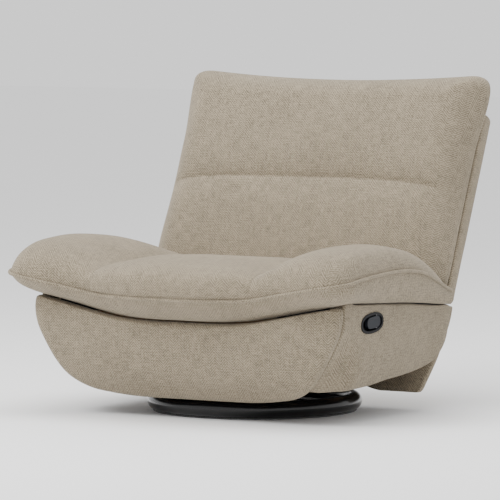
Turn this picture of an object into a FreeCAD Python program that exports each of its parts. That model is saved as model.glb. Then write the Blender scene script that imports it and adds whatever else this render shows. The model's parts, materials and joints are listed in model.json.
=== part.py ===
import FreeCAD, Part
import os
import re
import math
from FreeCAD import Vector, Placement, Rotation

# Swivel glider recliner with winged seat, ring base, pop-out footrest and
# reclining back.  Millimetres, +Z up, the seat faces -Y, the origin is on the
# floor under the swivel bolt.  "left" is the sitter's left, +X.

doc = FreeCAD.newDocument("glider_chair")
dims = doc.addObject("Spreadsheet::Sheet", "dims")

TABLE = [
    # ring base
    ("ring_rad", 288.0), ("tube_rad", 25.0), ("tube_wall", 2.0), ("ring_height", 28.0),
    ("arm_half", 20.0), ("arm_low", 28.0), ("arm_top", 40.0), ("arm_reach", 266.0),
    ("hub_rad", 78.0), ("hub_top", 46.0), ("race_outer", 62.0), ("race_inner", 34.0),
    ("race_low_top", 51.0), ("ball_rad", 4.25), ("ball_ring", 48.0),
    ("bolt_rad", 8.0), ("foot_rad", 9.0), ("foot_top", 6.5),
    # swivel frame
    ("race_up_low", 60.0), ("race_up_top", 64.0), ("spine_half", 70.0), ("spine_top", 72.0),
    ("bar_half", 196.0), ("bar_wide", 20.0), ("bar_top", 76.0),
    ("glide_y", 150.0), ("glide_top", 240.0), ("glide_low", 90.0),
    ("post_in", 184.0), ("post_out", 196.0), ("post_top", 251.0), ("pin_rad", 6.0),
    ("link_in", 198.0), ("link_out", 204.0), ("link_half", 14.0), ("bore_gap", 0.06),
    # seat carriage
    ("plate_in", 206.0), ("plate_out", 212.0), ("plate_front", -270.0), ("plate_rear", 250.0),
    ("plate_low", 72.0), ("plate_top", 262.0), ("cross_tube_rad", 12.0),
    ("rail_top", 300.0), ("rail_outer", 437.0), ("rail_wide", 32.0),
    ("rail_front", -340.0), ("rail_rear", 250.0), ("rail_depth", 40.0),
    ("slope", 0.0625), ("wire_rad", 1.8),
    # footrest linkage
    ("foot_y", -250.0), ("foot_z", 240.0), ("foot_len", 170.0), ("foot_rest_deg", 150.0),
    ("foot_pair", 50.0), ("panel_y", -345.0), ("panel_z", 230.0), ("foot_pin_rad", 5.0),
    # backrest
    ("back_y", 304.0), ("back_z", 306.0), ("lean", 24.4), ("back_half", 490.0),
    ("back_tall", 582.0), ("shell_thick", 40.0), ("pillow_thick", 121.0),
    ("pillow_tall", 672.0), ("hinge_u", 20.0), ("hinge_n", 20.0),
    # release handle
    ("handle_y", -208.0), ("handle_z", 289.0), ("handle_long", 129.0), ("handle_tall", 58.0),
]
VAL = dict(TABLE)
for i, (alias, value) in enumerate(TABLE, 1):
    dims.set("A%d" % i, alias)
    dims.set("B%d" % i, repr(value))
    dims.setAlias("B%d" % i, alias)
doc.recompute()


def E(e):
    return re.sub(r"[A-Za-z_]\w*",
                  lambda m: "dims." + m.group(0) if m.group(0) in VAL else m.group(0), str(e))


EXPORT = []


def keep(obj, node):
    obj.Label = node
    EXPORT.append((obj, node))
    return obj


def box(name, x0, x1, y0, y1, z0, z1):
    o = doc.addObject("Part::Box", name)
    for prop, a, b in (("Length", x0, x1), ("Width", y0, y1), ("Height", z0, z1)):
        o.setExpression(prop, "(%s) - (%s)" % (E(b), E(a)))
    for ax, a in (("x", x0), ("y", y0), ("z", z0)):
        o.setExpression("Placement.Base." + ax, E(a))
    return o


def cyl(name, axis, rad, start, length, c1, c2):
    """A cylinder along X or Z.  c1, c2 are the other two coordinates in order."""
    o = doc.addObject("Part::Cylinder", name)
    o.setExpression("Radius", E(rad))
    o.setExpression("Height", E(length))
    if axis == "X":
        o.Placement = Placement(Vector(), Rotation(Vector(0, 1, 0), 90))
        pos = (start, c1, c2)
    else:
        pos = (c1, c2, start)
    for ax, a in zip("xyz", pos):
        o.setExpression("Placement.Base." + ax, E(a))
    return o


def cut(name, base, *tools):
    if len(tools) > 1:
        t = doc.addObject("Part::MultiFuse", name + "_tools")
        t.Shapes = list(tools)
        tool = t
    else:
        tool = tools[0]
    o = doc.addObject("Part::Cut", name)
    o.Base = base
    o.Tool = tool
    return o


def common(name, *shapes):
    o = doc.addObject("Part::MultiCommon", name)
    o.Shapes = list(shapes)
    return o


def group(name, *objs):
    o = doc.addObject("Part::Compound", name)
    o.Links = list(objs)
    return o


def mirror(name, src):
    o = doc.addObject("Part::Mirroring", name)
    o.Source = src
    o.Normal = Vector(1, 0, 0)
    o.Base = Vector(0, 0, 0)
    return o


def plane(body, role):
    return [f for f in body.Origin.OriginFeatures if f.Role == role][0]


def sketch(body, role, offset=0.0):
    sk = body.newObject("Sketcher::SketchObject", body.Name + "_sketch")
    sk.AttachmentSupport = [(plane(body, role), "")]
    sk.MapMode = "FlatFace"
    sk.AttachmentOffset = Placement(Vector(0, 0, offset), Rotation())
    return sk


def poly(sk, pts):
    v = [Vector(a, b, 0) for a, b in pts]
    for a, b in zip(v, v[1:] + v[:1]):
        sk.addGeometry(Part.LineSegment(a, b), False)


def circle(sk, a, b, r):
    sk.addGeometry(Part.Circle(Vector(a, b, 0), Vector(0, 0, 1), r), False)


def pad(body, sk, length):
    p = body.newObject("PartDesign::Pad", body.Name + "_pad")
    p.Profile = sk
    if isinstance(length, str):
        p.setExpression("Length", E(length))
    else:
        p.Length = length
    sk.Visibility = False
    return p


def slab_x(name, pts, x0, x1, holes=()):
    """Outline in Y-Z, extruded from x0 to x1."""
    b = doc.addObject("PartDesign::Body", name)
    sk = sketch(b, "YZ_Plane", 0.0 if isinstance(x0, str) else x0)
    if isinstance(x0, str):
        sk.setExpression("AttachmentOffset.Base.z", E(x0))
    poly(sk, pts)
    for a, c, r in holes:
        circle(sk, a, c, r)
    pad(b, sk, "(%s) - (%s)" % (x1, x0))
    return b


def slab_y(name, pts, y0, y1):
    """Outline in X-Z, extruded from y0 to y1 (y0 < y1)."""
    b = doc.addObject("PartDesign::Body", name)
    sk = sketch(b, "XZ_Plane", -y1)
    poly(sk, pts)
    pad(b, sk, y1 - y0)
    return b


def slab_z(name, pts, z0, z1):
    b = doc.addObject("PartDesign::Body", name)
    sk = sketch(b, "XY_Plane", z0)
    poly(sk, pts)
    pad(b, sk, z1 - z0)
    return b


def bar_points(p, q, r, n=10):
    """A round-ended bar outline between two points."""
    a = math.atan2(q[1] - p[1], q[0] - p[0])
    out = []
    for c, s in ((q, a - math.pi / 2), (p, a + math.pi / 2)):
        for i in range(n + 1):
            t = s + math.pi * i / n
            out.append((c[0] + r * math.cos(t), c[1] + r * math.sin(t)))
    return out


def bent_points(path, r, n=8):
    """Outline of constant half-width r round an open path with mitred bends."""
    left, right = [], []
    for i, p in enumerate(path):
        if 0 < i < len(path) - 1:
            a = math.atan2(p[1] - path[i - 1][1], p[0] - path[i - 1][0])
            b = math.atan2(path[i + 1][1] - p[1], path[i + 1][0] - p[0])
            m = (a + b) / 2
            k = r / math.cos((b - a) / 2)
            left.append((p[0] - k * math.sin(m), p[1] + k * math.cos(m)))
            right.append((p[0] + k * math.sin(m), p[1] - k * math.cos(m)))
    a0 = math.atan2(path[1][1] - path[0][1], path[1][0] - path[0][0])
    a1 = math.atan2(path[-1][1] - path[-2][1], path[-1][0] - path[-2][0])
    cap1 = [(path[-1][0] + r * math.cos(a1 - math.pi / 2 + math.pi * i / n),
             path[-1][1] + r * math.sin(a1 - math.pi / 2 + math.pi * i / n)) for i in range(n + 1)]
    cap0 = [(path[0][0] + r * math.cos(a0 + math.pi / 2 + math.pi * i / n),
             path[0][1] + r * math.sin(a0 + math.pi / 2 + math.pi * i / n)) for i in range(n + 1)]
    return right + cap1 + left[::-1] + cap0


# ------------------------------------------------------------------ ring base
b = doc.addObject("PartDesign::Body", "ring_body")
sk = sketch(b, "XZ_Plane")
circle(sk, VAL["ring_rad"], VAL["ring_height"], VAL["tube_rad"])
circle(sk, VAL["ring_rad"], VAL["ring_height"], VAL["tube_rad"] - VAL["tube_wall"])
import Sketcher
names = []
for gi, rad in ((0, "tube_rad"), (1, "tube_rad - tube_wall")):
    names.append(sk.addConstraint(Sketcher.Constraint("DistanceX", -1, 1, gi, 3, VAL["ring_rad"])))
    sk.setExpression("Constraints[%d]" % names[-1], E("ring_rad"))
    names.append(sk.addConstraint(Sketcher.Constraint("DistanceY", -1, 1, gi, 3, VAL["ring_height"])))
    sk.setExpression("Constraints[%d]" % names[-1], E("ring_height"))
    r = VAL["tube_rad"] if gi == 0 else VAL["tube_rad"] - VAL["tube_wall"]
    names.append(sk.addConstraint(Sketcher.Constraint("Radius", gi, r)))
    sk.setExpression("Constraints[%d]" % names[-1], E(rad))
rev = b.newObject("PartDesign::Revolution", "ring_rev")
rev.Profile = sk
rev.ReferenceAxis = (sk, ["V_Axis"])
rev.Angle = 360.0
sk.Visibility = False
keep(b, "ring_tube")

keep(box("arm_x", "-arm_reach", "arm_reach", "-arm_half", "arm_half", "arm_low", "arm_top"), "base_arm_cross")
keep(group("arms_y",
           box("arm_f", "-arm_half", "arm_half", "-arm_reach", "-arm_half", "arm_low", "arm_top"),
           box("arm_b", "-arm_half", "arm_half", "arm_half", "arm_reach", "arm_low", "arm_top")),
     "base_arms_fore_aft")
hub = cyl("hub", "Z", "hub_rad", "arm_top", "hub_top - arm_top", 0, 0)
race = cut("race_low",
           cyl("race_low_o", "Z", "race_outer", "hub_top", "race_low_top - hub_top", 0, 0),
           cyl("race_low_i", "Z", "race_inner", "hub_top - 1", "race_low_top - hub_top + 2", 0, 0))
fused = doc.addObject("Part::MultiFuse", "hub_fused")
fused.Shapes = [hub, race]
keep(fused, "hub_plate")
balls = []
for i in range(12):
    s = doc.addObject("Part::Sphere", "ball_%d" % i)
    s.setExpression("Radius", E("ball_rad"))
    t = math.radians(30 * i)
    s.setExpression("Placement.Base.x", E("ball_ring * %.9f" % math.cos(t)))
    s.setExpression("Placement.Base.y", E("ball_ring * %.9f" % math.sin(t)))
    s.setExpression("Placement.Base.z", E("race_low_top + ball_rad"))
    balls.append(s)
keep(group("balls", *balls), "bearing_balls")
bolt = cyl("bolt", "Z", "bolt_rad", "hub_top", 44, 0, 0)
nut = doc.addObject("Part::Prism", "nut")
nut.Polygon = 6
nut.Circumradius = 15
nut.Height = 10
nut.Placement = Placement(Vector(0, 0, 73.5), Rotation())
fused = doc.addObject("Part::MultiFuse", "bolt_fused")
fused.Shapes = [bolt, nut]
keep(fused, "swivel_bolt")
saddle = doc.addObject("Part::Torus", "saddle_tube")
saddle.setExpression("Radius1", E("ring_rad"))
saddle.setExpression("Radius2", E("tube_rad"))
saddle.setExpression("Placement.Base.z", E("ring_height"))
keep(cut("glide_ring",
         cyl("glide_o", "Z", "ring_rad + foot_rad", 0, "foot_top", 0, 0),
         cyl("glide_i", "Z", "ring_rad - foot_rad", -1, "foot_top + 2", 0, 0),
         saddle), "floor_glide_ring")

# --------------------------------------------------------------- swivel frame
keep(cut("race_up",
         cyl("race_up_o", "Z", "race_outer", "race_up_low", "race_up_top - race_up_low", 0, 0),
         cyl("race_up_i", "Z", "race_inner", "race_up_low - 1", "race_up_top - race_up_low + 2", 0, 0)),
     "bearing_race_upper")
keep(cut("spine",
         box("spine_box", "-spine_half", "spine_half", "bar_wide - glide_y", "glide_y - bar_wide", "race_up_top", "spine_top"),
         cyl("spine_bore", "Z", "bolt_rad + bore_gap", "race_up_top - 1", 20, 0, 0)),
     "swivel_plate")
for side, s in (("front", "-"), ("rear", "")):
    ys = ("%sglide_y - bar_wide" % s, "%sglide_y + bar_wide" % s)
    keep(box("bar_" + side, "-bar_half", "bar_half", ys[0], ys[1], "race_up_top", "bar_top"), "swivel_bar_" + side)
    posts = [box("post_l_" + side, "post_in", "post_out", ys[0], ys[1], "bar_top", "post_top"),
             box("post_r_" + side, "-post_out", "-post_in", ys[0], ys[1], "bar_top", "post_top")]
    keep(group("posts_" + side, *posts), "glide_posts_" + side)
pins = []
for k, s in enumerate(("-", "")):
    pins.append(cyl("pin_up_l%d" % k, "X", "pin_rad", "post_out", "link_out + 1 - post_out", s + "glide_y", "glide_top"))
    pins.append(cyl("pin_up_r%d" % k, "X", "pin_rad", "-link_out - 1", "link_out + 1 - post_out", s + "glide_y", "glide_top"))
keep(group("pins_up", *pins), "glide_pins_upper")

# ---------------------------------------------------------------- glide links
for side, y in (("front", -VAL["glide_y"]), ("rear", VAL["glide_y"])):
    pts = bar_points((y, VAL["glide_top"]), (y, VAL["glide_low"]), VAL["link_half"])
    hr = VAL["pin_rad"] + VAL["bore_gap"]
    holes = ((y, VAL["glide_top"], hr), (y, VAL["glide_low"], hr if side == "front" else hr + 0.5))
    l = slab_x("glink_l_" + side, pts, "link_in", "link_out", holes)
    keep(l, "glide_link_%s_left" % side)
    keep(slab_x("glink_r_" + side, pts, "-link_out", "-link_in", holes), "glide_link_%s_right" % side)

# -------------------------------------------------------------- seat carriage
fused = doc.addObject("Part::MultiFuse", "cplate_fused")
fused.Shapes = [box("cplate_l", "plate_in", "plate_out", "plate_front", "plate_rear", "plate_low", "plate_top"),
                box("cable_tab", "plate_in", "plate_out", "handle_y - 14", "handle_y + 14", "plate_top - 5", 291)]
keep(fused, "carriage_plate_left")
keep(box("cplate_r", "-plate_out", "-plate_in", "plate_front", "plate_rear", "plate_low", "plate_top"), "carriage_plate_right")
pins = []
for k, s in enumerate(("-", "")):
    pins.append(cyl("pin_lo_l%d" % k, "X", "pin_rad", "link_in - 1", "plate_in - link_in + 1", s + "glide_y", "glide_low"))
    pins.append(cyl("pin_lo_r%d" % k, "X", "pin_rad", "-plate_in", "plate_in - link_in + 1", s + "glide_y", "glide_low"))
carriage_pins = list(pins)
keep(group("tubes",
           cyl("tube_f", "X", "cross_tube_rad", "-plate_in", "2 * plate_in", -235, 122),
           cyl("tube_b", "X", "cross_tube_rad", "-plate_in", "2 * plate_in", 228, 122)),
     "carriage_cross_tubes")
keep(group("crosses",
           box("cross_f", "rail_wide - rail_outer", "rail_outer - rail_wide", -185, -140, "plate_top", 285),
           box("cross_b", "rail_wide - rail_outer", "rail_outer - rail_wide", 140, 185, "plate_top", 285)),
     "seat_cross_slats")
keep(box("rail_f", "-rail_outer", "rail_outer", "rail_front", "rail_front + rail_depth", "plate_top", "rail_top"), "seat_rail_front")
keep(box("rail_b", -428, 428, "rail_rear - rail_depth", "rail_rear", "plate_top", "rail_top"), "seat_rail_rear")
keep(cut("rail_l", box("rail_l_box", "rail_outer - rail_wide", "rail_outer", "rail_front + rail_depth", "rail_rear - rail_depth", "plate_top", "rail_top"),
         cyl("rail_l_bore", "X", 5, "rail_outer - rail_wide - 5", "rail_wide + 10", "handle_y", 281)), "seat_rail_left")
keep(box("rail_r", "-rail_outer", "rail_wide - rail_outer", "rail_front + rail_depth", "rail_rear - rail_depth", "plate_top", "rail_top"), "seat_rail_right")


def zigzag(name, x, half, u0, u1, loops, h, rad, frame=None):
    """A sinuous spring lying flat: straight rungs joined by half turns."""
    b = doc.addObject("PartDesign::Body", name)
    if frame:
        b.Placement = frame
    sk = sketch(b, "XY_Plane", h)
    step = (u1 - u0) / loops
    r = step / 2.0
    g = []
    y = u0
    d = 1
    w = half - r
    g.append(Part.LineSegment(Vector(x - d * 0.0, y, 0), Vector(x + d * w, y, 0)))
    for i in range(loops):
        c = Vector(x + d * w, y + r, 0)
        if d > 0:
            arc = Part.ArcOfCircle(Part.Circle(c, Vector(0, 0, 1), r), -math.pi / 2, math.pi / 2)
        else:
            arc = Part.ArcOfCircle(Part.Circle(c, Vector(0, 0, 1), r), math.pi / 2, 3 * math.pi / 2)
        g.append(arc)
        y += step
        end = x - d * w if i < loops - 1 else x
        g.append(Part.LineSegment(Vector(x + d * w, y, 0), Vector(end, y, 0)))
        d = -d
    for e in g:
        sk.addGeometry(e, False)
    prof = b.newObject("Sketcher::SketchObject", name + "_prof")
    prof.AttachmentSupport = [(plane(b, "YZ_Plane"), "")]
    prof.MapMode = "FlatFace"
    prof.AttachmentOffset = Placement(Vector(0, 0, x), Rotation())
    circle(prof, u0, h, rad)
    pipe = b.newObject("PartDesign::AdditivePipe", name + "_pipe")
    pipe.Profile = prof
    pipe.Spine = sk
    sk.Visibility = False
    prof.Visibility = False
    return b


springs = [zigzag("sspring_%d" % i, x, 30.0, VAL["rail_front"] + 20, VAL["rail_rear"] - 20, 16, VAL["rail_top"] + VAL["wire_rad"], VAL["wire_rad"])
           for i, x in enumerate((-280, -140, 0, 140, 280))]
keep(group("sspring", *springs), "seat_springs")


def top_line(y):
    """Height of the line between the lower panels and the seat."""
    return 346.0 - VAL["slope"] * (y + 374.0)


keep(slab_x("platform", [(-366, 304), (140, 304), (140, top_line(140) + 1), (-366, top_line(-366))], -436, 436), "seat_platform")

# centre cushion: nose hangs over the front panel
side = [(-368, top_line(-368) + 1.5), (-372, 312), (-400, 309), (-450, 318), (-498, 338), (-520, 362), (-522, 392),
        (-514, 414), (-500, 432), (-440, 452), (-350, 460), (-260, 460), (-100, 453), (60, 438), (132, 428), (139, 416),
        (139, top_line(139) + 2)]
keep(slab_x("cushion", side, -259, 259), "seat_cushion")

# wing pads: plan, side and front outlines intersected
plan = slab_z("wing_plan", [(263, -500), (330, -508), (430, -500), (500, -478), (545, -445), (560, -420), (562, -380),
                            (556, -300), (552, -150), (550, 0), (542, 90), (525, 170), (505, 232), (496, 240),
                            (496, 139), (263, 139)], 290, 520)
sidep = slab_x("wing_side", [(-372, top_line(-372) + 4), (-372, 354), (-440, 368), (-495, 385), (-508, 405), (-500, 446), (-447, 472),
                             (-335, 495), (-243, 508), (-180, 512), (-100, 504), (15, 478), (109, 450), (200, 412),
                             (240, 368), (240, top_line(240) + 4)], 255, 570)
front = slab_y("wing_front", [(263, 290), (500, 290), (500, 350), (540, 378), (560, 400), (562, 418), (552, 440), (525, 472),
                              (480, 500), (430, 512), (370, 506), (310, 488), (263, 466)], -520, 250)
wing = common("wing_l", plan, sidep, front)
keep(wing, "wing_pad_left")
keep(mirror("wing_r", wing), "wing_pad_right")

# side panels
outline = [(-372, top_line(-372)), (-372, 150), (-366, 118), (-350, 102), (-320, 97), (-200, 99), (-137, 101), (-37, 110),
           (60, 121), (120, 129), (167, 139), (211, 154), (238, 178), (256, 206), (264, 242), (268, 281), (268, top_line(268))]
xprof = [(453, 166), (432, 140), (412, 96), (440, 96), (468, 114), (488, 156), (497, 220), (500, 290), (500, 350), (453, 350)]
side_o = slab_x("side_outline", outline, 400, 510)
side_p = slab_y("side_profile", xprof, -380, 290)
turn = slab_x("side_turn", [(-372, 165), (-372, 150), (-366, 118), (-350, 104), (-320, 99), (-300, 99), (-300, 165)], 392, 436)
side_join = doc.addObject("Part::MultiFuse", "side_join")
side_join.Shapes = [common("side_shell", side_o, side_p), turn]
side_full = side_join
hy, hz = VAL["handle_y"], VAL["handle_z"]
tilt = math.radians(4.0)


def oval(a, bb, n=32, cy=None, cz=None, p=2.4):
    out = []
    for i in range(n):
        t = 2 * math.pi * i / n
        c, s = math.cos(t), math.sin(t)
        y = a * math.copysign(abs(c) ** (2 / p), c)
        z = bb * math.copysign(abs(s) ** (2 / p), s)
        out.append((hy + y * math.cos(tilt) - z * math.sin(tilt), hz + y * math.sin(tilt) + z * math.cos(tilt)))
    return out


hl, ht = VAL["handle_long"] / 2, VAL["handle_tall"] / 2
pocket = slab_x("handle_pocket", oval(hl - 3.5, ht - 3.5), 477, 515)
bore_side = cyl("cable_bore_side", "X", 4, 430, 60, "handle_y", 281)
keep(cut("side_l", side_full, pocket, bore_side), "side_pad_left")
keep(mirror("side_r", side_full), "side_pad_right")
board_o = [(-350, 330), (-345, 190), (-325, 172), (150, 172), (190, 200), (225, 250), (232, 296), (200, 300)]
bl = slab_x("sboard_l", board_o, 437, 452.8)
keep(cut("sboard_lc", bl, cyl("cable_bore_board", "X", 4, 430, 30, "handle_y", 281)), "side_board_left")
keep(mirror("sboard_r", bl), "side_board_right")

# rear lower panel
rear_o = slab_y("rear_outline", [(-490, 300), (-486, 250), (-470, 180), (-445, 110), (-420, 72), (-408, 62), (408, 62), (420, 72),
                                 (445, 110), (470, 180), (486, 250), (490, 300)], 230, 330)
rear_p = slab_x("rear_profile", [(251, 62), (258, 62), (283, 100), (303, 160), (313, 225), (314, 299.5), (286, 299.5), (286, 225),
                                 (277, 165), (260, 108)], -500, 500)
keep(common("rear_c", rear_o, rear_p), "rear_pad")
keep(box("rear_b", -400, 400, 270, 285.8, 228, 294), "rear_board")

# ------------------------------------------------------------------- footrest
A = (VAL["foot_y"], VAL["foot_z"])
ph = math.radians(VAL["foot_rest_deg"])
L = VAL["foot_len"]
B = (A[0] - L * math.cos(ph), A[1] - L * math.sin(ph))
A2 = (A[0] + VAL["foot_pair"], A[1])
B2 = (B[0] + VAL["foot_pair"], B[1])
C = (VAL["panel_y"], VAL["panel_z"])
fr = VAL["foot_pin_rad"] + VAL["bore_gap"]


def both(name, pts, x0, x1, holes=()):
    return group(name, slab_x(name + "_l", pts, x0, x1, holes), slab_x(name + "_r", pts, -x1, -x0, holes))


def pins_at(name, pt, x0, x1):
    return [cyl(name + "_l", "X", "foot_pin_rad", x0, x1 - x0, "%.6f" % pt[0], "%.6f" % pt[1]),
            cyl(name + "_r", "X", "foot_pin_rad", -x1, x1 - x0, "%.6f" % pt[0], "%.6f" % pt[1])]


carriage_pins += pins_at("fpa", A, 212, 221) + pins_at("fpa2", A2, 212, 237)
keep(both("flink_a", bar_points(A, B, 10), 214, 220, ((A[0], A[1], fr), (B[0], B[1], fr))), "footrest_links_drive")
keep(both("flink_b", bar_points(A2, B2, 10), 230, 236, ((A2[0], A2[1], fr), (B2[0], B2[1], fr + 0.5))), "footrest_links_rear")
keep(both("farm", bent_points([B2, B, C], 10), 222, 228, ((B2[0], B2[1], VAL["foot_pin_rad"]), (B[0], B[1], VAL["foot_pin_rad"]), (C[0], C[1], VAL["foot_pin_rad"]))), "footrest_arms")
keep(group("farm_pins", *(pins_at("fpb", B, 213, 228) + pins_at("fpb2", B2, 222, 237) + pins_at("fpc", C, 213, 228))), "footrest_pins_arm")
tube_t = 0.22
T = (C[0] + (B[0] - C[0]) * tube_t, C[1] + (B[1] - C[1]) * tube_t)
keep(cyl("ftube", "X", 8, -222, 444, "%.6f" % T[0], "%.6f" % T[1]), "footrest_cross_tube")
keep(both("fbracket", bar_points((C[0], C[1]), (-374.2 + 10, C[1] + 2), 12), 214, 220, ((C[0], C[1], fr),)), "footrest_brackets")
keep(slab_y("fboard", [(-455, 318), (-330, 290), (0, 272), (330, 290), (455, 318), (455, 215), (430, 205), (-430, 205), (-455, 215)], -390, -376.2), "footrest_board")
top = [(-506, 350), (-500, 341), (-463, 337), (-392, 330), (-320, 313), (-246, 298), (-161, 288), (-60, 284), (60, 284), (161, 288),
       (246, 298), (320, 313), (392, 330), (463, 337), (500, 341), (506, 350)]
low = [(508, 330), (505, 290), (497, 258), (479, 220), (459, 183), (436, 148), (414, 122), (387, 100), (344, 83), (282, 70), (190, 59), (0, 54)]
low = low + [(-x, z) for x, z in low[-2::-1]]
front_o = slab_y("foot_outline", top[1:-1] + low, -450, -250)
front_p = slab_x("foot_profile", [(-390.3, 352), (-425, 352), (-432, 300), (-430, 230), (-422, 170), (-400, 115), (-366, 76), (-346, 54), (-326, 54),
                                  (-332, 72), (-352, 95), (-374, 121), (-378, 165), (-382, 200), (-390.3, 204)], -515, 515)
keep(common("foot_c", front_o, front_p), "footrest_pad")

# ------------------------------------------------------------------- backrest
lean = math.radians(VAL["lean"])
tilt_frame = Placement(Vector(0, VAL["back_y"], VAL["back_z"]), Rotation(Vector(1, 0, 0), 90 - VAL["lean"]))


def tilted_box(name, x0, x1, u0, u1, n0, n1):
    """A box in the backrest's own frame: across, up along the back, out to the front."""
    o = doc.addObject("Part::Box", name)
    o.Placement = tilt_frame
    for prop, a, bb in (("Length", x0, x1), ("Width", u0, u1), ("Height", n0, n1)):
        o.setExpression(prop, "(%s) - (%s)" % (E(bb), E(a)))
    o.setExpression("Placement.Base.x", E(x0))
    o.setExpression("Placement.Base.y", E("back_y + sin(lean * 1 deg) * (%s) - cos(lean * 1 deg) * (%s)" % (u0, n0)))
    o.setExpression("Placement.Base.z", E("back_z + cos(lean * 1 deg) * (%s) + sin(lean * 1 deg) * (%s)" % (u0, n0)))
    return o


def bk(u, n):
    return (VAL["back_y"] + math.sin(lean) * u - math.cos(lean) * n,
            VAL["back_z"] + math.cos(lean) * u + math.sin(lean) * n)


keep(tilted_box("skin", "-back_half", "back_half", 0, "back_tall", 0, 8), "back_outer_panel")
keep(tilted_box("stile_l", 442, 487, 6, "back_tall - 6", 8, "shell_thick"), "back_stile_left")
keep(tilted_box("stile_r", -487, -442, 6, "back_tall - 6", 8, "shell_thick"), "back_stile_right")
keep(tilted_box("brail_t", -442, 442, "back_tall - 56", "back_tall - 6", 8, "shell_thick"), "back_rail_top")
keep(tilted_box("brail_b", -424, 424, 60, 105, 8, "shell_thick"), "back_rail_bottom")
bsp = [zigzag("bspring_%d" % i, x, 32.0, 82.0, VAL["back_tall"] - 30, 14, VAL["shell_thick"] + VAL["wire_rad"], VAL["wire_rad"], tilt_frame)
       for i, x in enumerate((-255, -85, 85, 255))]
keep(group("bspring", *bsp), "back_springs")
H = VAL["pillow_tall"]
n0 = VAL["shell_thick"] + 2 * VAL["wire_rad"] + 0.4
n1 = n0 + VAL["pillow_thick"]
outl = [(-470, 26), (470, 26), (482, 60), (486, 300), (482, 600), (476, 638), (460, 662), (436, H + 3), (220, H - 9), (0, H - 17),
        (-220, H - 9), (-436, H + 3), (-460, 662), (-476, 638), (-482, 600), (-486, 300), (-482, 60)]
b1 = doc.addObject("PartDesign::Body", "pillow_face")
b1.Placement = tilt_frame
sk = sketch(b1, "XY_Plane", n0 - 2)
poly(sk, outl)
pad(b1, sk, VAL["pillow_thick"] + 10)
b2 = slab_x("pillow_side", [(26, n0), (26, n1 - 22), (44, n1 - 4), (120, n1), (250, n1), (296, n1 - 6), (314, n1 - 14), (332, n1 - 6), (380, n1),
                            (540, n1 - 1), (600, n1 - 12), (645, n1 - 34), (676, n1 - 62), (672, n1 - 90), (640, n0 + 6), (594, n0)], -500, 500)
b2.Placement = tilt_frame
b = common("pillow", b1, b2)
keep(b, "back_pillow")
hp = bk(VAL["hinge_u"], VAL["hinge_n"])
rp = (225.0, 276.0)
keep(both("rplate", bar_points(hp, rp, 11), 428.2, 434, ((hp[0], hp[1], 5.0),)), "recline_plates")
carriage_pins += pins_at("rpin", hp, 428.2, 441.9)
keep(group("cpins", *carriage_pins), "carriage_pins")
up = bk(150, 24)
keep(both("bbracket", bar_points(hp, up, 11), 436, 441.8, ((hp[0], hp[1], fr),)), "back_hinge_brackets")

# ------------------------------------------------------------- release handle
flange = slab_x("housing_flange", oval(hl, ht), 500.2, 504.5)
cup_o = slab_x("housing_cup", oval(hl - 4.5, ht - 4.5), 478.2, 501)
cup_i = slab_x("housing_void", oval(hl - 7.5, ht - 7.5), 481.5, 520)
zc = hz + 35 * math.sin(tilt)
keep(cut("housing", common("housing_keep", doc.addObject("Part::MultiFuse", "housing_fuse")), cup_i,
         cyl("housing_bore", "Z", 2.05, zc - 19.5, 39, 497.0, hy + 35)), "handle_housing")
doc.getObject("housing_fuse").Shapes = [flange, cup_o]
doc.getObject("housing_keep").Shapes = [doc.getObject("housing_fuse"), box("housing_lim", 470, 510, -300, -100, 240, 340)]
lev = []
n = 10
for i in range(n + 1):
    t = -math.pi / 2 + math.pi * i / n
    lev.append((hy + 33 + 17.0 * math.cos(t), hz + 17.0 * math.sin(t)))
for i in range(n + 1):
    t = math.pi / 2 + math.pi * i / n
    lev.append((hy - 10 + 16.0 * math.cos(t), hz + 16.0 * math.sin(t)))
rot = [(hy + (a - hy) * math.cos(tilt) - (c - hz) * math.sin(tilt), hz + (a - hy) * math.sin(tilt) + (c - hz) * math.cos(tilt)) for a, c in lev]
lever_blank = slab_x("lever_blank", rot, 493, 502)
LP = (497.0, hy + 35)
keep(cut("lever", lever_blank, cyl("lever_bore", "Z", 2.06, hz - 40, 80, LP[0], LP[1])), "release_lever")
keep(cyl("lever_pin_c", "Z", 2.0, zc - 19.2, 38.4, LP[0], LP[1]), "lever_pin")
keep(cyl("cable", "X", 2.5, 212, "266.2", "handle_y", 281), "release_cable")

doc.recompute()

# --------------------------------------------------------------------- export
os.makedirs("parts", exist_ok=True)
bad = []
for o in doc.Objects:
    if "Invalid" in o.State or "Error" in o.State:
        bad.append("%s %s" % (o.Name, o.State))
for o, node in EXPORT:
    s = o.Shape
    if s.isNull() or not s.isValid():
        bad.append("%s shape" % node)
if bad:
    raise SystemExit("bad objects: " + "; ".join(bad))
for o, node in EXPORT:
    o.Shape.exportStep("parts/%s.step" % node)
    bb = o.Shape.BoundBox
    print("%-26s %2d solids  X %7.1f %7.1f  Y %7.1f %7.1f  Z %7.1f %7.1f  V %.0f" % (
        node, len(o.Shape.Solids), bb.XMin, bb.XMax, bb.YMin, bb.YMax, bb.ZMin, bb.ZMax, o.Shape.Volume))
print(len(EXPORT), "nodes; foot pivots", A, B, A2, B2, C, "recline pivot", hp, "lever pivot", LP)
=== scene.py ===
import bpy
import bmesh
import json
import math
import numpy as np
from mathutils import Matrix, Vector


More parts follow.
